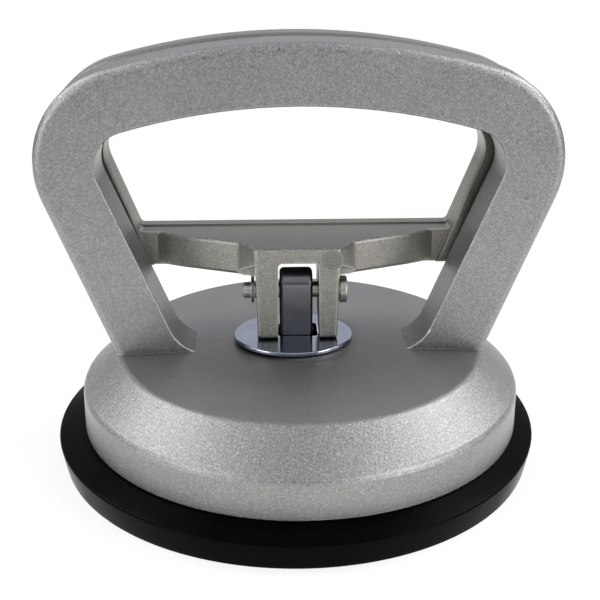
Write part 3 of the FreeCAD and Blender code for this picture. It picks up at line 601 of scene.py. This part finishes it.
def lay_floor(scene):
    """A disc of white paper under the lifter."""
    studio = scene.lifter_studio
    white = list(scene.lifter_colours.backdrop) + [1]
    made, tree, out = new_material("white_paper_floor")
    middle = add(tree, "ShaderNodeVectorMath", {"operation": "LENGTH"},
                 {0: add(tree, "ShaderNodeTexCoord").outputs["Object"]}).outputs["Value"]
    # The floor is overexposed where the lamps meet: reflections see it brighter than the white that the picture can
    # show, and it falls off within a metre.
    pool = spread(tree, middle, studio.table - 1, studio.table_far - 1, *GLOW_FALL)
    glossy = add(tree, "ShaderNodeLightPath").outputs["Is Glossy Ray"]
    glow = add(tree, "ShaderNodeMath", {"operation": "MULTIPLY_ADD", 2: 1.0}, {0: glossy, 1: pool}).outputs[0]
    lit = add(tree, "ShaderNodeEmission", {"Color": white}, {"Strength": glow})
    # Near the lifter a fifth of the paper's light comes from the lamps, so that its shadow stays soft and pale.
    # Farther off the paper is evenly white.
    paper = add(tree, "ShaderNodeBsdfDiffuse", {"Color": white})
    share = add(tree, "ShaderNodeMath", {"operation": "MULTIPLY"},
                {0: see_backdrop(tree), 1: spread(tree, middle, OWN_LIGHT, 1.0, *LAMP_FALL)})
    mix = add(tree, "ShaderNodeMixShader", None, {0: share.outputs[0], 1: paper.outputs[0], 2: lit.outputs[0]})
    tree.links.new(mix.outputs[0], out.inputs[0])
    work = bmesh.new()
    bmesh.ops.create_circle(work, cap_ends=True, segments=96, radius=FLOOR_RADIUS)
    mesh = bpy.data.meshes.new("floor")
    work.to_mesh(mesh)
    work.free()
    floor = bpy.data.objects.new("floor", mesh)
    floor.location.z = CAD_BOX[0][2] - FLOOR_GAP
    mesh.materials.append(made)
    scene.collection.objects.link(floor)


def light_room(scene):
    """White behind the lifter for the camera. In reflections the room is grey at eye level and lighter towards the
    ceiling, and on matt surfaces its light is soft and even."""
    studio = scene.lifter_studio
    white = list(scene.lifter_colours.backdrop) + [1]
    cool = list(scene.lifter_colours.daylight) + [1]
    world = bpy.data.worlds.new("white_room")
    world.use_nodes = True
    tree = world.node_tree
    tree.nodes.clear()
    seen = see_backdrop(tree)
    camera_sees = add(tree, "ShaderNodeLightPath").outputs["Is Camera Ray"]
    way = add(tree, "ShaderNodeSeparateXYZ", None, {0: add(tree, "ShaderNodeTexCoord").outputs["Generated"]})
    high = spread(tree, way.outputs["Z"], studio.horizon, studio.ceiling, *ROOM_RISE)
    clear = add(tree, "ShaderNodeMath", {"operation": "MAXIMUM"}, {0: camera_sees, 1: high}).outputs[0]
    bright = add(tree, "ShaderNodeMath", {"operation": "MULTIPLY"}, {0: seen, 1: clear}).outputs[0]
    dim = add(tree, "ShaderNodeMath", {"operation": "MULTIPLY_ADD", 1: -studio.sky, 2: studio.sky}, {0: seen})
    strength = add(tree, "ShaderNodeMath", {"operation": "ADD"}, {0: bright, 1: dim.outputs[0]}).outputs[0]
    tint = add(tree, "ShaderNodeMix", {"data_type": "RGBA", 6: cool, 7: white}, {"Factor": camera_sees}).outputs[2]
    sky = add(tree, "ShaderNodeBackground", None, {"Color": tint, "Strength": strength})
    add(tree, "ShaderNodeOutputWorld", None, {0: sky.outputs[0]})
    scene.world = world


def see_backdrop(tree):
    """1 where the camera, a reflection or a clear piece looks at the backdrop, 0 for its light on matt surfaces."""
    path = add(tree, "ShaderNodeLightPath")
    one = add(tree, "ShaderNodeMath", {"operation": "MAXIMUM"},
              {0: path.outputs["Is Camera Ray"], 1: path.outputs["Is Glossy Ray"]})
    return add(tree, "ShaderNodeMath", {"operation": "MAXIMUM"},
               {0: one.outputs[0], 1: path.outputs["Is Transmission Ray"]}).outputs[0]


def lamp(name, place, side, power):
    """A square softbox that points at the lifter."""
    data = bpy.data.lights.new(name, "AREA")
    data.shape = "SQUARE"
    data.size = side
    data.energy = power
    made = bpy.data.objects.new(name, data)
    made.location = place
    made.rotation_euler = (Vector(LAMP_AIM) - Vector(place)).to_track_quat("-Z", "Y").to_euler()
    bpy.context.scene.collection.objects.link(made)


class LIFTER_PT_panel(Panel):
    """Lists the pieces of the lifter and their settings"""
    bl_label = "Suction lifter"
    bl_idname = "LIFTER_PT_panel"
    bl_space_type = "VIEW_3D"
    bl_region_type = "UI"
    bl_category = "Lifter"

    def draw(self, context):
        layout = self.layout
        for operator in PIECES:
            layout.operator(operator.bl_idname)
        for group in (context.scene.lifter_pad, context.scene.lifter_colours, context.scene.lifter_studio):
            box = layout.box()
            for key in group.__annotations__:
                box.prop(group, key)


PIECES = (LIFTER_OT_body, LIFTER_OT_lever, LIFTER_OT_steel, LIFTER_OT_pad, LIFTER_OT_stage)
CLASSES = (LifterPad, LifterColours, LifterStudio) + PIECES + (LIFTER_PT_panel,)


def register():
    for item in CLASSES:
        bpy.utils.register_class(item)
    bpy.types.Scene.lifter_pad = PointerProperty(type=LifterPad)
    bpy.types.Scene.lifter_colours = PointerProperty(type=LifterColours)
    bpy.types.Scene.lifter_studio = PointerProperty(type=LifterStudio)


def unregister():
    del bpy.types.Scene.lifter_studio
    del bpy.types.Scene.lifter_colours
    del bpy.types.Scene.lifter_pad
    for item in reversed(CLASSES):
        bpy.utils.unregister_class(item)


def main():
    register()
    bpy.ops.lifter.stage()
    bpy.ops.lifter.body()
    bpy.ops.lifter.lever()
    bpy.ops.lifter.steel()
    bpy.ops.lifter.pad()


if __name__ == "__main__":
    main()
